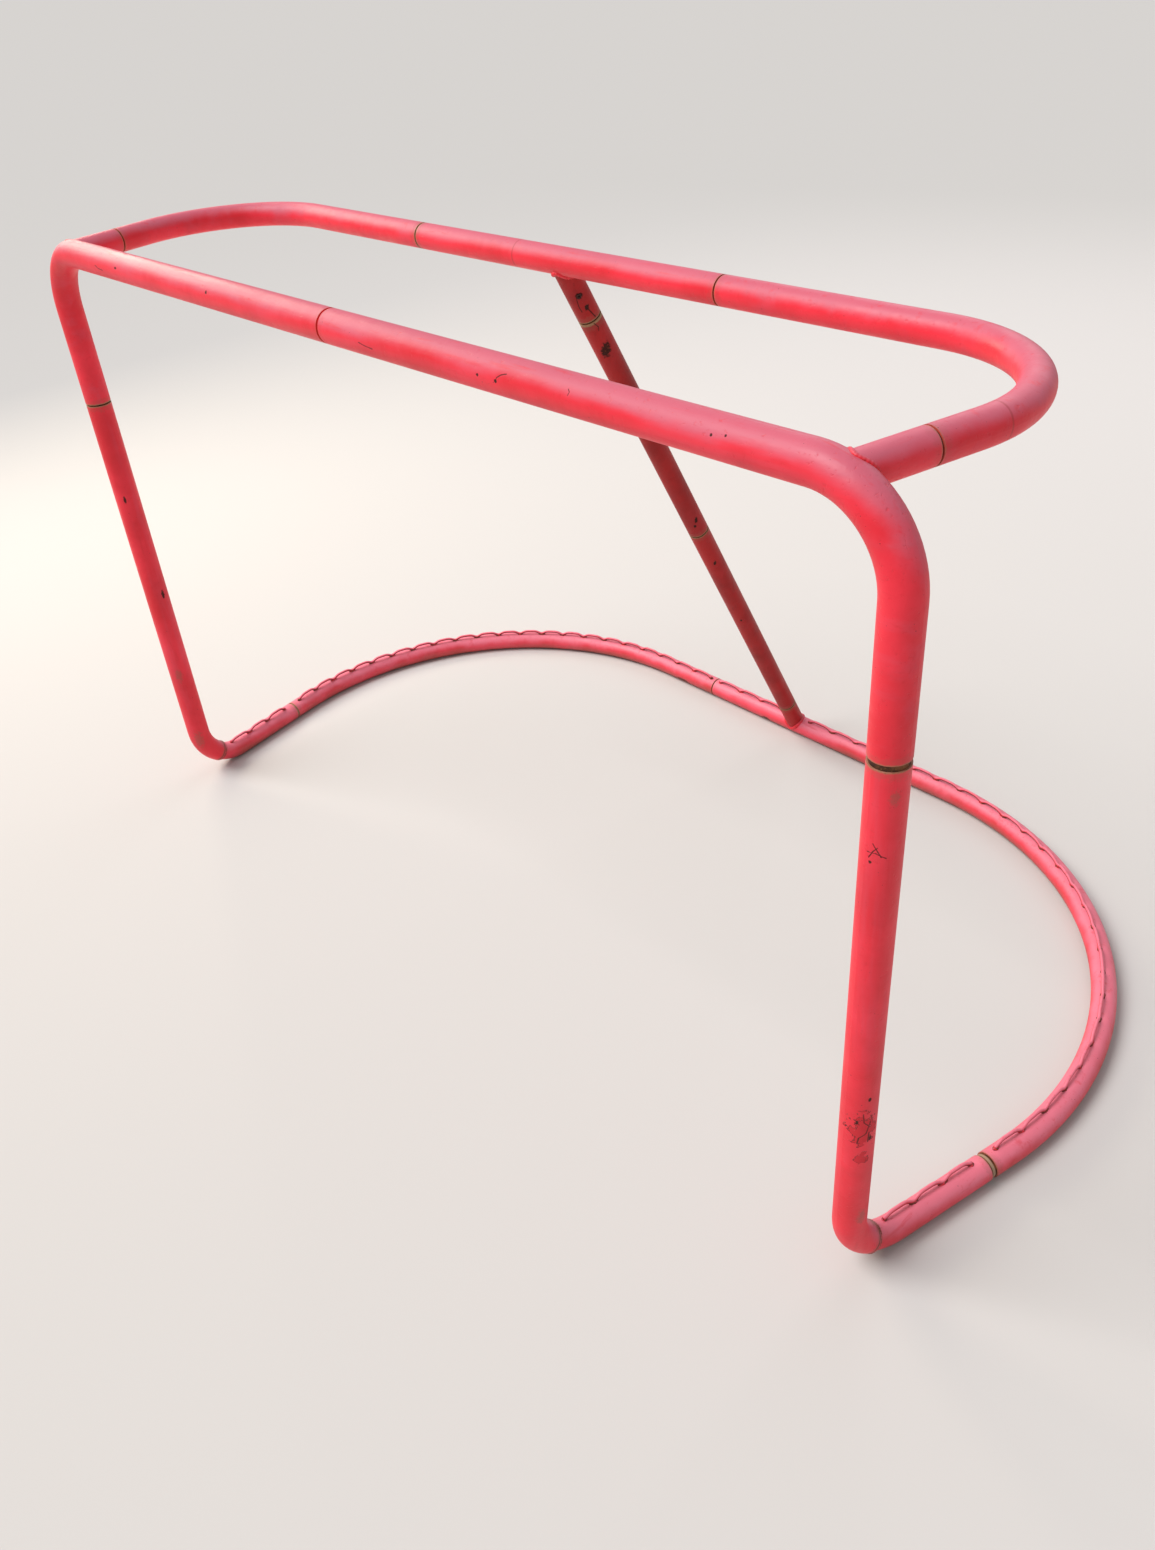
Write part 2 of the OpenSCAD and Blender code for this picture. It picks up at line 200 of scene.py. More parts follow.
# ---- Shader graphs ----
class Graph:
    """A material with short names for the nodes that these finishes use."""

    def __init__(self, name):
        self.material = bpy.data.materials.new(name)
        self.material.use_nodes = True
        self.tree = self.material.node_tree
        self.shader = self.tree.nodes["Principled BSDF"]
        self._place = None
        self._normal = None

    def new(self, kind):
        return self.tree.nodes.new(kind)

    def put(self, socket, value):
        if isinstance(value, bpy.types.NodeSocket):
            self.tree.links.new(value, socket)
        else:
            socket.default_value = value

    @property
    def place(self):
        """Position in the object's own frame."""
        if self._place is None:
            self._place = self.new("ShaderNodeTexCoord").outputs["Object"]
        return self._place

    @property
    def facing_up(self):
        """Z of the surface's normal."""
        if self._normal is None:
            split = self.new("ShaderNodeSeparateXYZ")
            self.put(split.inputs[0], self.new("ShaderNodeTexCoord").outputs["Normal"])
            self._normal = split.outputs["Z"]
        return self._normal

    @property
    def height(self):
        split = self.new("ShaderNodeSeparateXYZ")
        self.put(split.inputs[0], self.place)
        return split.outputs["Z"]

    def math(self, operation, a, b=0.0, clamp=False):
        n = self.new("ShaderNodeMath")
        n.operation = operation
        n.use_clamp = clamp
        self.put(n.inputs[0], a)
        self.put(n.inputs[1], b)
        return n.outputs[0]

    def times(self, a, b):
        return self.math("MULTIPLY", a, b)

    def plus(self, a, b, clamp=False):
        return self.math("ADD", a, b, clamp)

    def minus(self, a, b):
        return self.math("SUBTRACT", a, b)

    def swing(self, value, reach):
        """A noise of 0 to 1 made to swing round zero."""
        return self.times(self.minus(value, 0.5), reach)

    def cover(self, share, strength, under, over):
        """One colour laid over another, by a share and how strongly it covers."""
        return self.mix(self.times(share, strength), under, over)

    def vector(self, operation, a, b):
        n = self.new("ShaderNodeVectorMath")
        n.operation = operation
        self.put(n.inputs[0], a)
        self.put(n.inputs[1], b)
        return n.outputs["Value" if operation in ("LENGTH", "DOT_PRODUCT", "DISTANCE") else "Vector"]

    def noise(self, scale, detail=3, roughness=0.55, stretch=None, shift=0.0):
        place = self.place
        if stretch is not None:
            place = self.vector("MULTIPLY", place, stretch)
        if shift:
            place = self.vector("ADD", place, (shift, shift * 0.7, -shift))
        n = self.new("ShaderNodeTexNoise")
        self.put(n.inputs["Vector"], place)
        n.inputs["Scale"].default_value = scale
        n.inputs["Detail"].default_value = detail
        n.inputs["Roughness"].default_value = roughness
        return n.outputs["Fac"]

    def span(self, value, low, high, to_low=0.0, to_high=1.0):
        """Smooth step of value from low to high."""
        n = self.new("ShaderNodeMapRange")
        n.interpolation_type = "SMOOTHSTEP"
        for socket, v in zip(n.inputs[:5], (value, low, high, to_low, to_high)):
            self.put(socket, v)
        return n.outputs[0]

    def mix(self, share, a, b):
        n = self.new("ShaderNodeMix")
        n.data_type = "RGBA"
        self.put(n.inputs[0], share)
        self.put(n.inputs[6], a)
        self.put(n.inputs[7], b)
        return n.outputs[2]

    def bump(self, height, strength, distance):
        n = self.new("ShaderNodeBump")
        n.inputs["Strength"].default_value = strength
        n.inputs["Distance"].default_value = distance
        self.put(n.inputs["Height"], height)
        return n.outputs[0]

    def finish(self, colour, roughness, normal):
        self.put(self.shader.inputs["Base Color"], colour)
        self.put(self.shader.inputs["Roughness"], roughness)
        self.put(self.shader.inputs["Normal"], normal)
        return self.material


# ---- Colours ----
RED = (0.94, 0.030, 0.058, 1)
RED_DEEP = (0.75, 0.015, 0.030, 1)
RED_FADED_AND_SHEEN = (0.58, 0.150, 0.222, 1)
RED_WORN = (0.34, 0.022, 0.018, 1)
LOOP_RED = (0.90, 0.070, 0.115, 1)
LOOP_DEEP = (0.74, 0.032, 0.050, 1)
LOOP_FADED_AND_SHEEN = (0.86, 0.230, 0.320, 1)
# The stay's colours are the red darkened as painted shade: they stand for the shade that falls on the stay's
# faces.
STAY_SHADED_RED = (0.46, 0.012, 0.012, 1)
STAY_SHADED_DEEP = (0.27, 0.007, 0.007, 1)
STAY_SHADED_FADED_AND_SHEEN = (0.52, 0.060, 0.070, 1)
RUST = (0.20, 0.070, 0.022, 1)
RUST_DARK = (0.030, 0.008, 0.005, 1)
RUST_LIGHT = (0.36, 0.17, 0.07, 1)
TAN = (0.50, 0.31, 0.17, 1)
TAN_GREY = (0.42, 0.33, 0.25, 1)
SCREW_BLACK = (0.030, 0.012, 0.012, 1)
SCREW_BROWN = (0.12, 0.045, 0.03, 1)
GRIME = (0.28, 0.10, 0.07, 1)
BODY = (RED, RED_DEEP, RED_FADED_AND_SHEEN)    # main, deep and faded colour of a coat; the faded one also lays painted sky sheen on upward faces
LOOP_BODY = (LOOP_RED, LOOP_DEEP, LOOP_FADED_AND_SHEEN)
STAY_SHADED_BODY = (STAY_SHADED_RED, STAY_SHADED_DEEP, STAY_SHADED_FADED_AND_SHEEN)

# How strongly each kind of wear covers the paint, from 0 to 1. The fading is partly sun fading and partly
# painted sky sheen on upward faces.
STROKES, FADING_AND_SHEEN, FINE_STROKES, DENTS, SPECKS = 0.16, 0.80, 0.42, 0.35, 0.75
JOINT_GRIME, JOINT_RIM, FAINT_RING, SEAM_GRIME, SEAM = 0.22, 0.85, 0.40, 0.30, 0.90
SMEAR, PEEL, PEEL_EDGE, CHIP, CRACK = 0.45, 0.34, 0.95, 0.94, 0.85
# The second is how strongly downward faces take painted shade, with rust, under the lacing rod.
MUD, UNDERSIDE_SHADE_AND_RUST = 0.70, 0.85

# Half widths of the marks that run round a tube. Those of a joint are added to its gap.
JOINT_GRIME_REACH, JOINT_RIM_REACH = 0.013, 0.0024
RING_HALF, SEAM_GRIME_HALF, SEAM_HALF = 0.0018, 0.008, 0.0017
BAND_REACH = (0.045, 0.065)          # a mark fades out this far from its own middle
MUD_TOP = 0.030                      # height above the floor
CRACK_HALF = 0.0009
STEEL_BAND_HALF = 0.0030

# Noises of the paint: scale, detail and roughness.
STROKE_NOISE, FINE_NOISE, LUMP_NOISE = (30, 4, 0.6), (110, 3, 0.6), (48, 3, 0.5)
PATCH_NOISE, SPECK_NOISE, RAGGED_NOISE = (6.5, 4, 0.6), (300, 2, 0.5), (230, 4, 0.65)
DENT_NOISE, TORN_NOISE = (150, 3, 0.7), (95, 3, 0.6)

# The paint's surface: roughness of strokes, what bare spots add to it, and the bump's parts.
PAINT_ROUGHNESS, BARE_ROUGHNESS = (0.38, 0.56), 0.3
STROKE_HEIGHT, FINE_HEIGHT, LUMP_HEIGHT, BARE_DEPTH, DENT_DEPTH = 0.6, 0.25, 0.7, 0.7, 0.35
BUMP_STRENGTH, BUMP_DISTANCE = 0.55, 0.0017
SHEEN, STAY_SHEEN = 0.38, 0.25       # specular level


def band(g, middle, along, half_width, wobble):
    """Share of a ring round a tube, by the distance from a plane square to it."""
    away = g.vector("SUBTRACT", g.place, tuple(middle))
    off = g.math("ABSOLUTE", g.vector("DOT_PRODUCT", away, tuple(along)))
    off = g.plus(off, wobble)
    near = g.span(g.vector("LENGTH", away, (0, 0, 0)), *BAND_REACH, 1.0, 0.0)
    return g.times(g.span(off, half_width * 0.55, half_width, 1.0, 0.0), near)


def spot(g, middle, half_size, wobble, edge):
    """Share of an uneven patch round a point, with a half size along each axis. It fades from edge to 1."""
    away = g.vector("SUBTRACT", g.place, tuple(middle))
    away = g.vector("DIVIDE", away, tuple(half_size))
    return g.span(g.plus(g.vector("LENGTH", away, (0, 0, 0)), wobble), edge, 1.0, 1.0, 0.0)


def line(g, start, end, half_width, wobble):
    """Share of a thin crack that runs straight from start to end."""
    run = Vector(end) - Vector(start)
    away = g.vector("SUBTRACT", g.place, tuple(start))
    share = g.math("DIVIDE", g.vector("DOT_PRODUCT", away, tuple(run)), run.length_squared, clamp=True)
    n = g.new("ShaderNodeVectorMath")
    n.operation = "SCALE"
    n.inputs[0].default_value = tuple(run)
    g.put(n.inputs["Scale"], share)
    off = g.plus(g.vector("DISTANCE", away, n.outputs[0]), wobble)
    return g.span(off, half_width * 0.5, half_width, 1.0, 0.0)


def paint(name, grain, joints=(), rings=(), seams=(), chips=(), peels=(), cracks=(), smears=(),
          low=False, under=False, body=BODY, seed=0.0):
    """Brushed paint over steel. joints: (middle, axis, half gap, rust), rings and seams: (middle, axis),
    chips, peels and smears: (middle, half size), cracks: (start, end, half width)."""
    g = Graph(name)
    main, deep, faded_and_sheen = body
    strokes = g.noise(*STROKE_NOISE, grain, seed)
    fine = g.noise(*FINE_NOISE, grain, seed + 3)
    lumps = g.noise(*LUMP_NOISE, None, seed + 5)
    patches = g.noise(*PATCH_NOISE, None, seed + 9)
    specks = g.noise(*SPECK_NOISE, None, seed + 12)
    ragged = g.noise(*RAGGED_NOISE, None, seed + 15)
    torn = g.swing(g.noise(*TORN_NOISE, None, seed + 27), 3.0)
    dents = g.noise(*DENT_NOISE, None, seed + 30)

    colour = g.mix(g.span(patches, 0.30, 0.66), deep, main)
    colour = g.cover(g.span(strokes, 0.46, 0.70), STROKES, colour, faded_and_sheen)
    # Upward faces turn to the faded colour: partly sun fading, partly painted sky sheen.
    fade_and_sheen = g.plus(g.facing_up, g.swing(patches, 0.9))
    fade_and_sheen = g.plus(fade_and_sheen, g.swing(strokes, 0.5))
    colour = g.cover(g.span(fade_and_sheen, 0.10, 0.85), FADING_AND_SHEEN, colour, faded_and_sheen)
    colour = g.cover(g.span(fine, 0.56, 0.76), FINE_STROKES, colour, deep)
    colour = g.cover(g.span(dents, 0.60, 0.72), DENTS, colour, deep)
    colour = g.cover(g.span(specks, 0.745, 0.775), SPECKS, colour, RUST_DARK)

    bare = 0.0
    uneven = g.minus(ragged, 0.5)
    wobble = g.times(uneven, 0.0045)
    for middle, along, half_gap, rust in joints:
        grime = band(g, middle, along, half_gap + JOINT_GRIME_REACH, g.times(wobble, 5.0))
        colour = g.cover(grime, JOINT_GRIME * rust, colour, GRIME)
        rim = band(g, middle, along, half_gap + JOINT_RIM_REACH, wobble)
        colour = g.cover(rim, JOINT_RIM * rust, colour, g.mix(ragged, RUST, TAN))
    for middle, along in rings:
        mark = band(g, middle, along, RING_HALF, g.times(wobble, 0.25))
        colour = g.cover(mark, FAINT_RING, colour, RED_WORN)
    for middle, along in seams:
        halo = band(g, middle, along, SEAM_GRIME_HALF, g.times(wobble, 4.0))
        colour = g.cover(halo, SEAM_GRIME, colour, GRIME)
        mark = band(g, middle, along, SEAM_HALF, g.times(wobble, 0.35))
        colour = g.cover(mark, SEAM, colour, g.mix(ragged, RUST_DARK, RUST))

    for middle, half_size in smears:
        smear = spot(g, middle, half_size, g.times(uneven, 2.0), 0.3)
        colour = g.cover(smear, SMEAR, colour, GRIME)
    for middle, half_size in peels:
        away = g.vector("SUBTRACT", g.place, tuple(middle))
        away = g.vector("LENGTH", g.vector("DIVIDE", away, tuple(half_size)), (0, 0, 0))
        away = g.plus(away, torn)
        worn = g.span(away, 0.86, 1.0, 1.0, 0.0)
        edge = g.span(g.math("ABSOLUTE", g.minus(away, 0.93)), 0.02, 0.09, 1.0, 0.0)
        edge = g.times(edge, g.span(lumps, 0.36, 0.50))
        colour = g.cover(worn, PEEL, colour, RED_WORN)
        colour = g.cover(edge, PEEL_EDGE, colour, RUST_DARK)
        bare = g.math("MAXIMUM", bare, worn)
    for middle, half_size in chips:
        chip = spot(g, middle, half_size, g.times(uneven, 1.6), 0.7)
        brown = g.mix(g.span(ragged, 0.5, 0.8), RUST_DARK, RUST)
        colour = g.cover(chip, CHIP, colour, brown)
        bare = g.math("MAXIMUM", bare, chip)
    for start, end, half_width in cracks:
        crack = line(g, start, end, half_width, g.times(uneven, 0.0012))
        colour = g.cover(crack, CRACK, colour, RUST_DARK)
        bare = g.math("MAXIMUM", bare, crack)
    if low:
        mud = g.plus(g.height, g.swing(patches, 0.05))
        colour = g.mix(g.span(mud, 0.0, MUD_TOP, MUD, 0.0), colour, GRIME)
    # Downward faces darken towards dark rust: painted shade on the underside, with some real rust.
    if under:
        shade_and_rust = g.plus(g.facing_up, g.times(uneven, 0.5))
        colour = g.mix(g.span(shade_and_rust, -0.15, 0.30, UNDERSIDE_SHADE_AND_RUST, 0.0), colour, RUST_DARK)

    roughness = g.span(strokes, 0.25, 0.75, *PAINT_ROUGHNESS)
    roughness = g.plus(roughness, g.times(bare, BARE_ROUGHNESS), clamp=True)
    surface = g.plus(g.times(strokes, STROKE_HEIGHT), g.times(fine, FINE_HEIGHT))
    surface = g.plus(surface, g.times(lumps, LUMP_HEIGHT))
    surface = g.minus(surface, g.times(bare, BARE_DEPTH))
    surface = g.minus(surface, g.times(g.span(dents, 0.58, 0.74), DENT_DEPTH))
    g.shader.inputs["Specular IOR Level"].default_value = STAY_SHEEN if body is STAY_SHADED_BODY else SHEEN
    return g.finish(colour, roughness, g.bump(surface, BUMP_STRENGTH, BUMP_DISTANCE))


def rusty_steel(name, seed, middle=None, along=None):
    """Bare tube steel under brown rust. With a middle, a tan band runs between two dark grooves."""
    g = Graph(name)
    blotch = g.noise(60, 5, 0.65, None, seed)
    grit = g.noise(420, 3, 0.6, None, seed + 4)
    colour = g.mix(g.span(blotch, 0.35, 0.65), RUST_DARK, RUST)
    colour = g.cover(g.span(grit, 0.55, 0.72), 0.6, colour, RUST_LIGHT)
    if middle is not None:
        centre = band(g, middle, along, STEEL_BAND_HALF, 0.0)
        colour = g.cover(centre, 0.9, colour, g.mix(blotch, TAN, TAN_GREY))
    roughness = g.span(grit, 0.3, 0.7, 0.6, 0.9)
    g.shader.inputs["Metallic"].default_value = 0.25
    return g.finish(colour, roughness, g.bump(g.plus(blotch, grit), 0.6, 0.0006))


def dark_steel(name):
    """Oxidised steel of the locking screw."""
    g = Graph(name)
    grit = g.noise(700, 3, 0.6)
    colour = g.mix(g.span(grit, 0.4, 0.7), SCREW_BLACK, SCREW_BROWN)
    g.shader.inputs["Metallic"].default_value = 0.6
    return g.finish(colour, g.span(grit, 0.3, 0.7, 0.35, 0.65), g.bump(grit, 0.4, 0.0003))


def weld_paint(name, rust=0.0):
    """The same red over a weld, dirtier in the ripples' hollows and rusted by the share given."""
    g = Graph(name)
    grit = g.noise(260, 4, 0.6)
    patches = g.noise(30, 3, 0.6, None, 2)
    colour = g.mix(g.span(patches, 0.4, 0.7), RED_DEEP, RED)
    # Upward faces paler: partly sun fading, partly painted sky sheen.
    colour = g.cover(g.span(g.facing_up, 0.3, 1.0), 0.5, colour, RED_FADED_AND_SHEEN)
    colour = g.cover(g.span(grit, 0.56, 0.68), 0.7, colour, RED_WORN)
    if rust:
        eaten = g.plus(grit, g.swing(patches, 0.8))
        eaten = g.span(eaten, 0.60 - 0.3 * rust, 0.66 - 0.3 * rust)
        colour = g.cover(eaten, 0.9, colour, g.mix(grit, RUST_DARK, RUST))
    return g.finish(colour, g.span(grit, 0.3, 0.7, 0.4, 0.6), g.bump(grit, 0.5, 0.0007))


# ---- Swept pieces ----
ROD_SIDES, BEAD_SIDES = 12, 10
ROD_STEPS = 16                   # points along one scallop
TACK_POINTS = 9                  # points along one tack
TACK_HALF = (0.0065, 0.0095)     # range of a tack's half length
TACK_R = (0.0036, 0.0046)        # range of its radius at the middle
TACK_SINK = 0.0026               # how far its middle lies below the rod's
TACK_END = 0.04                  # squared share of the radius left at its ends
RIPPLE = 0.0035                  # one ripple along a bead
BEAD_SLANT = Vector((0.13, 0.21, 0.97))   # where a bead's cross-sections start; never along a bead
CURVE_POINTS, WELD_POINTS = 160, 140
HALVINGS = 40                    # steps in finding where two walls meet
REACH = 0.08                     # and how far from the tube's axis they may meet
STAY_FOOT_BEAD, STAY_HEAD_BEAD, STUB_BEAD, FOOT_BEAD = 0.0042, 0.0038, 0.0027, 0.0030
TINY = 1e-5


def sweep(bm, points, radii, sides, closed=False, twist_up=UP):
    """Adds a round tube along points to a bmesh, with caps when it is open."""
    count = len(points)
    rings = []
    for i, p in enumerate(points):
        before = points[(i - 1) % count] if closed or i else p
        after = points[(i + 1) % count] if closed or i < count - 1 else p
        ahead = (after - before).normalized()
        across = ahead.cross(twist_up)
        if across.length < 1e-6:
            across = ahead.orthogonal()
        across.normalize()
        normal = across.cross(ahead)
        ring = []
        for k in range(sides):
            a = 2 * math.pi * k / sides
            ring.append(bm.verts.new(p + radii[i] * (math.cos(a) * across + math.sin(a) * normal)))
        rings.append(ring)
    for i in range(count if closed else count - 1):
        one, two = rings[i], rings[(i + 1) % count]
        for k in range(sides):
            m = (k + 1) % sides
            bm.faces.new((one[k], one[m], two[m], two[k]))
    if not closed:
        bm.faces.new(list(reversed(rings[0])))
        bm.faces.new(rings[-1])


def piece(name, bm, material, replaces=()):
    """Turns a bmesh into a painted piece of the frame."""
    bmesh.ops.recalc_face_normals(bm, faces=bm.faces)
    mesh = bpy.data.meshes.new(name)
    bm.to_mesh(mesh)
    bm.free()
    mesh.polygons.foreach_set("use_smooth", [True] * len(mesh.polygons))
    mesh.materials.append(material)
    obj = bpy.data.objects.new(name, mesh)
    bpy.context.scene.collection.objects.link(obj)
    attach(obj, "root")
    if replaces:
        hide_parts(*replaces)


def flip(v, left):
    """A point or direction of the right half, mirrored for the left one."""
    return Vector((-v.x, v.y, v.z)) if left else v


def elbow_at(left, turn, inwards=0.0):
    """Point on a foot elbow's centreline, or that far towards its inner side, and its direction."""
    along = Vector((math.sin(BASE_FLARE), math.cos(BASE_FLARE), 0))
    centre = Vector((HALF_W, -MID_Y, BACK_R + FOOT_R)) + along * FOOT_R
    out = along * math.cos(turn) + UP * math.sin(turn)
    point = centre - out * (FOOT_R - inwards)
    ahead = along * math.sin(turn) - UP * math.cos(turn)
    return flip(point, left), flip(ahead, left)


# ---- Lacing rod ----
def loop_at(s):
    """Point and heading of the right half of the ground loop, s along it from the foot."""
    if s < base_straight:
        heading = math.pi / 2 - BASE_FLARE
        return Vector((HALF_W + s * math.cos(heading), s * math.sin(heading) - MID_Y, BACK_R)), heading
    if s < base_straight + base_arc:
        a = -BASE_FLARE + (s - base_straight) / BASE_BEND_R
        return Vector((base_bend_x + BASE_BEND_R * math.cos(a),
                       BASE_DEPTH - BASE_BEND_R + BASE_BEND_R * math.sin(a) - MID_Y, BACK_R)), a + math.pi / 2
    return Vector((base_len - s, BASE_DEPTH - MID_Y, BACK_R)), math.pi


def rod_at(s, u):
    """Point of the rod, s along the loop, and its outward direction. u counts the scallops."""
    point, heading = loop_at(s)
    inboard = heading + math.pi / 2
    out = Vector((math.sin(ROD_LEAN) * math.cos(inboard), math.sin(ROD_LEAN) * math.sin(inboard),
                  math.cos(ROD_LEAN)))
    rise = SCALLOP_H * (1 - abs(math.cos(math.pi * u)) ** DIP_SHARPNESS)
    inner = FOOT_R - BACK_R
    elbow = inner - math.sqrt(inner ** 2 - (FOOT_R - s) ** 2) if s < FOOT_R else 0
    return point + out * (BACK_R + ROD_R + rise) + UP * elbow, out


def lacing_rod(name, left, start, end, steel, weld):
    """A rod bent into scallops and tacked to the tube at every dip."""
    scallops = max(1, round((end - start) / PITCH))
    bm = bmesh.new()
    points = []
    for i in range(scallops * ROD_STEPS + 1):
        p, _ = rod_at(start + (end - start) * i / (scallops * ROD_STEPS), i / ROD_STEPS)
        points.append(flip(p, left))
    sweep(bm, points, [ROD_R] * len(points), ROD_SIDES)
    piece(name, bm, steel, replaces=(name.replace("_rod", ""),))

    bm = bmesh.new()
    dice = random.Random(name)
    for k in range(scallops + 1):
        s = start + (end - start) * k / scallops
        half = dice.uniform(*TACK_HALF)
        fat = dice.uniform(*TACK_R)
        bead, radii = [], []
        for j in range(TACK_POINTS):
            t = -1 + 2 * j / (TACK_POINTS - 1)
            p, out = rod_at(min(max(s + t * half, start), end), k)
            bead.append(flip(p - out * TACK_SINK, left) + UP * (0.0002 * math.sin(9 * t)))
            radii.append(fat * math.sqrt(max(TACK_END, 1 - t * t)) * (1 + 0.10 * math.sin(7 * t + k)))
        for j in range(1, TACK_POINTS):
            if (bead[j] - bead[j - 1]).length < TINY:     # held at the rod's end
                bead[j] = bead[j] + Vector((TINY, TINY, 0))
        sweep(bm, bead, radii, BEAD_SIDES)
    piece(name + "_welds", bm, weld)


# ---- Weld beads round the stubs ----
def bead_ring(name, points, radius, weld, seed):
    """A rippled bead along a closed curve."""
    dice = random.Random(seed)
    length = sum((points[i] - points[i - 1]).length for i in range(len(points)))
    waves = max(20, round(length / RIPPLE))
    phase = dice.uniform(0, 6)
    radii = []
    for i in range(len(points)):
        turn = 2 * math.pi * i / len(points)
        swell = 1 + 0.10 * math.sin(3 * turn + phase) + 0.06 * math.sin(7 * turn)
        ripple = 1 + 0.07 * math.sin(waves * turn)
        radii.append(radius * swell * ripple)
    bm = bmesh.new()
    sweep(bm, points, radii, BEAD_SIDES, closed=True, twist_up=BEAD_SLANT)
    piece(name, bm, weld)


def stub_curve(root, along, stub_r, gap_to):
    """Where a stub's wall meets another tube: gap_to(point) is the distance from that tube's wall."""
    one = along.orthogonal().normalized()
    two = along.cross(one)
    points = []
    for i in range(CURVE_POINTS):
        a = 2 * math.pi * i / CURVE_POINTS
        foot = root + stub_r * (math.cos(a) * one + math.sin(a) * two)
        near, far = 0.0, REACH
        for _ in range(HALVINGS):
            half = (near + far) / 2
            if gap_to(foot + along * half) < 0:
                near = half
            else:
                far = half
        points.append(foot + along * near)
    return points


def from_rear_tube(depth, z):
    """Distance from the wall of a straight tube that runs along X."""
    return lambda p: math.hypot(p.y + MID_Y - depth, p.z - z) - BACK_R


def from_mouth(p):
    """Distance from the wall of the crossbar and its rounded corner."""
    x, bend_x = abs(p.x), HALF_W - CORNER_R
    off = BAR_Z - p.z if x < bend_x else 0
    if x >= bend_x:
        off = math.hypot(x - bend_x, p.z - (BAR_Z - CORNER_R)) - CORNER_R
    return math.hypot(off, p.y + MID_Y) - FRONT_R


def make_welds(weld, rusty):
    stay_up = Vector((0, TOP_DEPTH - BASE_DEPTH, TOP_Z - BACK_R)).normalized()
    curve = stub_curve(STAY_FOOT, stay_up, STAY_R, from_rear_tube(BASE_DEPTH, BACK_R))
    bead_ring("stay_foot_weld", curve, STAY_FOOT_BEAD, weld, seed=2)
    curve = stub_curve(STAY_HEAD, -stay_up, STAY_R, from_rear_tube(TOP_DEPTH, TOP_Z))
    bead_ring("stay_head_weld", curve, STAY_HEAD_BEAD, weld, seed=3)
    for left in (True, False):
        side = "left" if left else "right"
        heading = math.pi / 2 - TOP_FLARE
        along = Vector((math.cos(heading), math.sin(heading), 0))
        root = Vector((TOP_ROOT_X, -MID_Y, TOP_Z))
        points = [flip(p, left) for p in stub_curve(root, along, BACK_R, from_mouth)]
        bead_ring(f"top_stub_weld_{side}", points, STUB_BEAD, weld, seed=4 + left)
        middle, ahead = elbow_at(left, FOOT_WELD)
        one = ahead.cross(UP).normalized()
        two = one.cross(ahead)
        ring = [middle + (BACK_R + 0.0002) * (math.cos(t) * one + math.sin(t) * two)
                for t in np.linspace(0, 2 * math.pi, WELD_POINTS, endpoint=False)]
        bead_ring(f"foot_weld_{side}", ring, FOOT_BEAD, rusty, seed=6 + left)


# ---- Finishes of the CAD nodes ----
# How the brush strokes are stretched: long in the direction that is scaled least.
ALONG_X = (0.12, 1, 1)
ALONG_Y = (1, 0.12, 1)
ALONG_Z = (1, 1, 0.12)
EVEN = (0.6, 0.6, 0.6)


def joint(sleeve, half_gap=HALF_GAP, rust=1.0):
    """The slip joint over a straight sleeve."""
    middle, along = axis(sleeve)
    return middle, along, half_gap, rust


def on_post(side, angle, z):
    """Point on a post's wall: angle 0 faces the front and grows towards +X."""
    a = math.radians(angle)
    return Vector((side * HALF_W + FRONT_R * math.sin(a), -MID_Y - FRONT_R * math.cos(a), z))


def on_bar(x, angle):
    """Point on the crossbar's wall: angle 0 faces the front and 90 faces up."""
    a = math.radians(angle)
    return Vector((x, -MID_Y - FRONT_R * math.cos(a), BAR_Z + FRONT_R * math.sin(a)))


def on_rear(x, angle):
    """Point on the ground loop's rear tube: angle 0 faces the front and 90 faces up."""
    a = math.radians(angle)
    return Vector((x, BASE_DEPTH - MID_Y - BACK_R * math.cos(a), BACK_R * (1 + math.sin(a))))


def on_stay(s, angle):
    """Point on the stay's wall, s below its head: angle 0 faces the front and grows towards +X."""
    down = Vector((0, BASE_DEPTH - TOP_DEPTH, BACK_R - TOP_Z)).normalized()
    front = down.cross(Vector((1, 0, 0)))
    if front.y > 0:
        front = -front
    a = math.radians(angle)
    return STAY_HEAD + down * s + STAY_R * (math.sin(a) * Vector((1, 0, 0)) + math.cos(a) * front)


def set_finish(node, material):
    for s in NODES[node].material_slots:
        s.material = material


def path(point, stops, half_width=CRACK_HALF):
    """Cracks that join the stops in turn; each stop is given to point()."""
    places = [point(*stop) for stop in stops]
    return [(a, b, half_width) for a, b in zip(places, places[1:])]


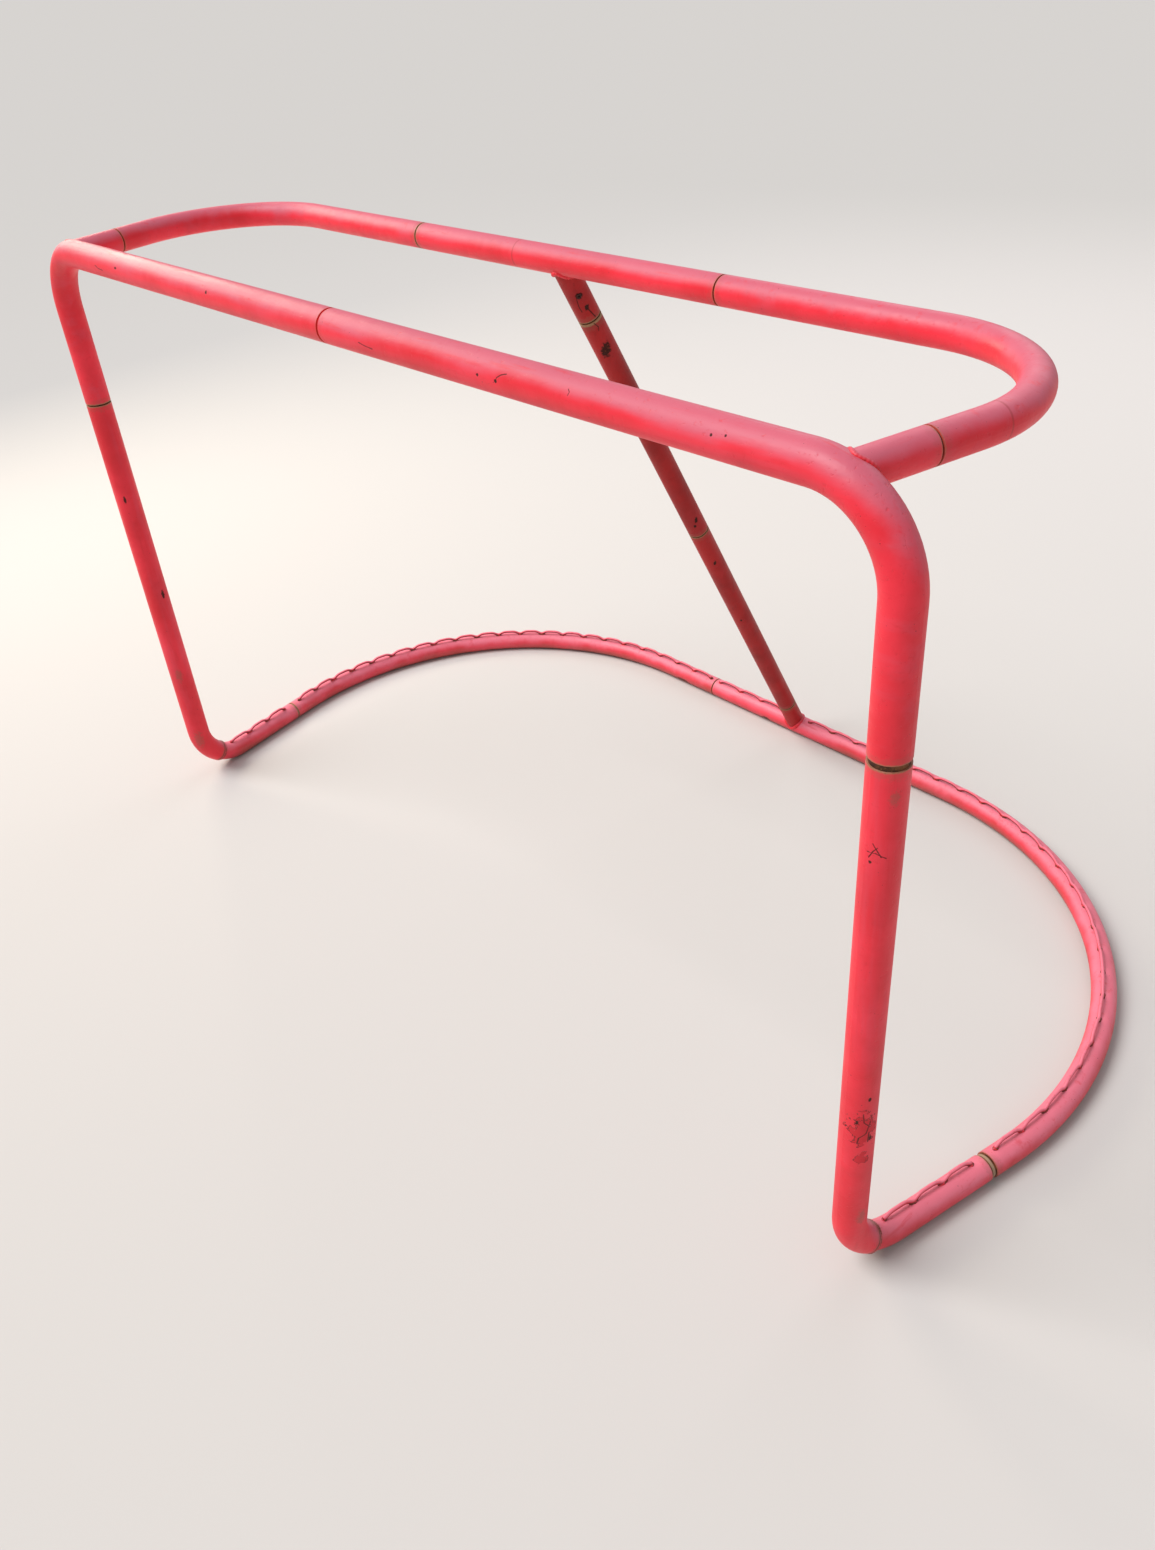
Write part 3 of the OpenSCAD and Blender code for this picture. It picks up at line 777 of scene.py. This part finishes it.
def post_wear(right):
    """Wear of one lower post tube."""
    if not right:
        return {"chips": [(on_post(-1, 101, 0.486), (0.004, 0.004, 0.011)),
                          (on_post(-1, 55, 0.708), (0.003, 0.003, 0.008)),
                          (on_post(-1, 230, 0.30), (0.004, 0.004, 0.010))],
                "smears": [(on_post(-1, 57, 0.285), (0.010, 0.010, 0.022)),
                           (on_post(-1, 60, 0.11), (0.014, 0.014, 0.030))]}

    def point(angle, z):
        return on_post(1, angle, z)

    cracks = path(point, [(1, 0.786), (12, 0.796), (23, 0.802)])
    cracks += path(point, [(-4, 0.793), (20, 0.794), (46, 0.789)])
    cracks += path(point, [(10, 0.806), (24, 0.797), (34, 0.790)])
    cracks += path(point, [(48, 0.368), (52, 0.352), (66, 0.345)])
    cracks += path(point, [(74, 0.352), (62, 0.330), (40, 0.322), (36, 0.312)], 0.0011)
    cracks += path(point, [(72, 0.330), (70, 0.312)], 0.0012)
    return {
        "chips": [(on_post(1, 6, 0.780), (0.002, 0.002, 0.003)),
                  (on_post(1, 64, 0.395), (0.0025, 0.0025, 0.004)),
                  (on_post(1, 31, 0.352), (0.002, 0.002, 0.004)),
                  (on_post(1, 78, 0.318), (0.0025, 0.0025, 0.005)),
                  (on_post(1, 200, 0.52), (0.004, 0.004, 0.010)),
                  (on_post(1, 250, 0.24), (0.005, 0.005, 0.012))],
        "peels": [(on_post(1, 52, 0.337), (0.017, 0.017, 0.030)),
                  (on_post(1, 58, 0.279), (0.009, 0.009, 0.013))],
        "smears": [(on_post(1, 56, 0.868), (0.008, 0.008, 0.014)),
                   (on_post(1, 75, 0.150), (0.010, 0.010, 0.020))],
        "cracks": cracks,
    }


def bar_wear(right):
    """Wear of one half of the crossbar."""
    if not right:
        return {"chips": [(on_bar(-0.31, 20), (0.003, 0.003, 0.003)),
                          (on_bar(-0.58, 200), (0.008, 0.004, 0.004)),
                          (on_bar(-0.62, 15), (0.004, 0.002, 0.002))],
                "cracks": path(on_bar, [(-0.70, 4), (-0.69, -6), (-0.675, -9)])}
    cracks = path(on_bar, [(0.381, 5), (0.383, 14), (0.390, 24), (0.399, 30)])
    cracks += path(on_bar, [(0.098, 1), (0.112, -5), (0.128, -8)], 0.0008)
    cracks += path(on_bar, [(0.505, 20), (0.507, 29), (0.504, 36)], 0.0006)
    return {"chips": [(on_bar(0.381, 4), (0.0028, 0.0028, 0.0028)),
                      (on_bar(0.347, 6), (0.0022, 0.0022, 0.0022)),
                      (on_bar(0.717, 23), (0.0020, 0.0020, 0.0020)),
                      (on_bar(0.735, 30), (0.0016, 0.0016, 0.0016)),
                      (on_bar(0.44, 190), (0.007, 0.004, 0.004))],
            "cracks": cracks}


def joint_at(node, towards, rust):
    """The slip joint at one end of a straight tube."""
    return tube_end(node, towards), axis(node)[1], 2 * HALF_GAP, rust


def finish_nodes():
    head_joint = joint_at("stay_upper_tube", (0, -0.2, 1.2), 1.2)
    mid_joint = joint("stay_sleeve_mid")
    low_joint = joint("stay_sleeve_low", HALF_GAP, 1.1)
    bar = joint("crossbar_sleeve", 0.0025, 0.25)
    top_joints, base_joints = [], []
    for side, sign in (("left", -1), ("right", 1)):
        right = sign > 0
        post = joint(f"post_sleeve_{side}", 0.004 if right else HALF_GAP, 1.0)
        top_side = joint(f"top_side_sleeve_{side}", HALF_GAP, 0.45)
        top_rear = joint(f"top_rear_sleeve_{side}", HALF_GAP, 0.5 if right else 1.0)
        base_side = joint(f"base_side_sleeve_{side}", 0.0055 if right else HALF_GAP, 0.9)
        base_rear = joint(f"base_rear_sleeve_{side}", HALF_GAP, 0.5)
        top_joints.append(top_rear)
        base_joints.append(base_rear)

        def coat(node, grain, seed, **wear):
            set_finish(f"{node}_{side}", paint(f"{node}_{side}_paint", grain, seed=sign * seed, **wear))

        coat("crossbar", ALONG_X, 1.3, joints=[bar, post], **bar_wear(right))
        seam = elbow_at(not right, FOOT_SEAM)
        corner = (elbow_at(not right, FOOT_SEAM, BACK_R)[0], (0.017, 0.017, 0.015))
        wear = post_wear(right)
        wear["smears"].append(corner)
        coat("post", ALONG_Z, 2.1, joints=[post], seams=[seam], low=True, **wear)
        coat("foot_plate", EVEN, 0.4, seams=[seam], body=LOOP_BODY, smears=[corner])
        coat("top_stub", ALONG_Y, 3.7, joints=[top_side])
        along = Vector((math.sin(TOP_FLARE), math.cos(TOP_FLARE), 0))
        mark = flip(Vector((TOP_ROOT_X, -MID_Y, TOP_Z)) + CORNER_RING * along, not right)
        coat("top_corner", EVEN, 4.2, joints=[top_side, top_rear], rings=[(mark, along)] if right else [])
        coat("base_front", ALONG_Y, 5.9, joints=[base_side], seams=[elbow_at(not right, FOOT_WELD)],
             low=True, body=LOOP_BODY, smears=[corner])
        spots = [] if right else [(on_rear(-0.352, -28), (0.022, 0.007, 0.006))]
        coat("base_side", EVEN, 6.6, joints=[base_side, base_rear], chips=spots, low=True, body=LOOP_BODY)
    rear_chip = [(Vector((0.346, TOP_DEPTH - MID_Y - 0.014, TOP_Z + 0.016)), (0.004, 0.003, 0.003))]
    rings = [(Vector((-0.094, TOP_DEPTH - MID_Y, TOP_Z)), Vector((1, 0, 0)))]
    set_finish("top_rear", paint("top_rear_paint", ALONG_X, top_joints, rings, chips=rear_chip, seed=7.1))
    set_finish("base_rear", paint("base_rear_paint", ALONG_X, base_joints, low=True,
                                  chips=[(on_rear(-0.078, -30), (0.014, 0.006, 0.006))],
                                  body=LOOP_BODY, seed=8.3))

    # The stay's pieces take the darkened copy of the paint, which paints their shade.
    set_finish("stay_base_stub",
               paint("stay_base_stub_shaded_paint", EVEN, [low_joint], low=True, body=STAY_SHADED_BODY, seed=9.2))
    set_finish("stay_lower_tube", paint("stay_lower_tube_shaded_paint", ALONG_Z, [low_joint, mid_joint],
                                        chips=[(on_stay(0.715, 57), (0.003, 0.004, 0.007)),
                                               (on_stay(0.90, 40), (0.002, 0.003, 0.004))],
                                        body=STAY_SHADED_BODY, seed=10.4))
    chips = [(on_stay(0.166, 55), (0.010, 0.009, 0.016)), (on_stay(0.591, 71), (0.003, 0.004, 0.009)),
             (on_stay(0.604, 50), (0.003, 0.003, 0.004)), (on_stay(0.677, 29), (0.003, 0.003, 0.005)),
             (on_stay(0.25, 45), (0.002, 0.002, 0.003))]
    cracks = path(on_stay, [(0.112, 62), (0.121, 72), (0.128, 66)])
    set_finish("stay_upper_tube", paint("stay_upper_tube_shaded_paint", ALONG_Z, [head_joint, mid_joint],
                                        chips=chips, cracks=cracks, body=STAY_SHADED_BODY, seed=11.8))
    chips = [(on_stay(0.056, 57), (0.0065, 0.0065, 0.0065)), (on_stay(0.080, 66), (0.004, 0.004, 0.006))]
    cracks = path(on_stay, [(0.060, 40), (0.074, 34), (0.084, 36)])
    cracks += path(on_stay, [(0.082, 66), (0.092, 74), (0.103, 82)], 0.0013)
    set_finish("stay_top_stub", paint("stay_top_stub_shaded_paint", EVEN, [head_joint], chips=chips,
                                      cracks=cracks, body=STAY_SHADED_BODY, seed=12.5))
    for i, node in enumerate(sorted(n for n in NODES if "sleeve" in n and n != "crossbar_sleeve")):
        tan = axis(node) if node.startswith("base_side_sleeve") else (None, None)
        set_finish(node, rusty_steel(f"{node}_steel", i * 1.7, *tan))
    set_finish("crossbar_sleeve", paint("crossbar_sleeve_paint", EVEN, seed=14.0,
                                        body=(RED_DEEP, RED_WORN, RED)))
    set_finish("stay_lock_screw", dark_steel("lock_screw_steel"))


def make_lacing(weld):
    # The rod's paint is darkened on its underside as painted shade, with rust.
    rod = paint("lacing_rod_shaded_paint", EVEN, under=True, body=LOOP_BODY, seed=20.0)
    for left in (True, False):
        side = "left" if left else "right"
        rear_joint = abs(axis(f"base_rear_sleeve_{side}")[0].x)
        middle = axis(f"base_side_sleeve_{side}")[0]
        side_joint = (middle.y + MID_Y) / math.cos(BASE_FLARE)
        lacing_rod(f"lacing_rod_front_{side}", left, ROD_START, side_joint - FRONT_CLEAR, rod, weld)
        lacing_rod(f"lacing_rod_side_{side}", left, side_joint + SIDE_CLEAR,
                   base_len - rear_joint - REAR_CLEAR, rod, weld)
        lacing_rod(f"lacing_rod_rear_{side}", left, base_len - rear_joint + REAR_CLEAR,
                   base_len - STAY_CLEAR, rod, weld)


make_camera()
make_studio()
finish_nodes()
weld = weld_paint("weld_paint")
rusty = weld_paint("rusty_weld_paint", 0.8)
tacks = weld_paint("tack_paint", 0.6)
make_lacing(tacks)
make_welds(weld, rusty)
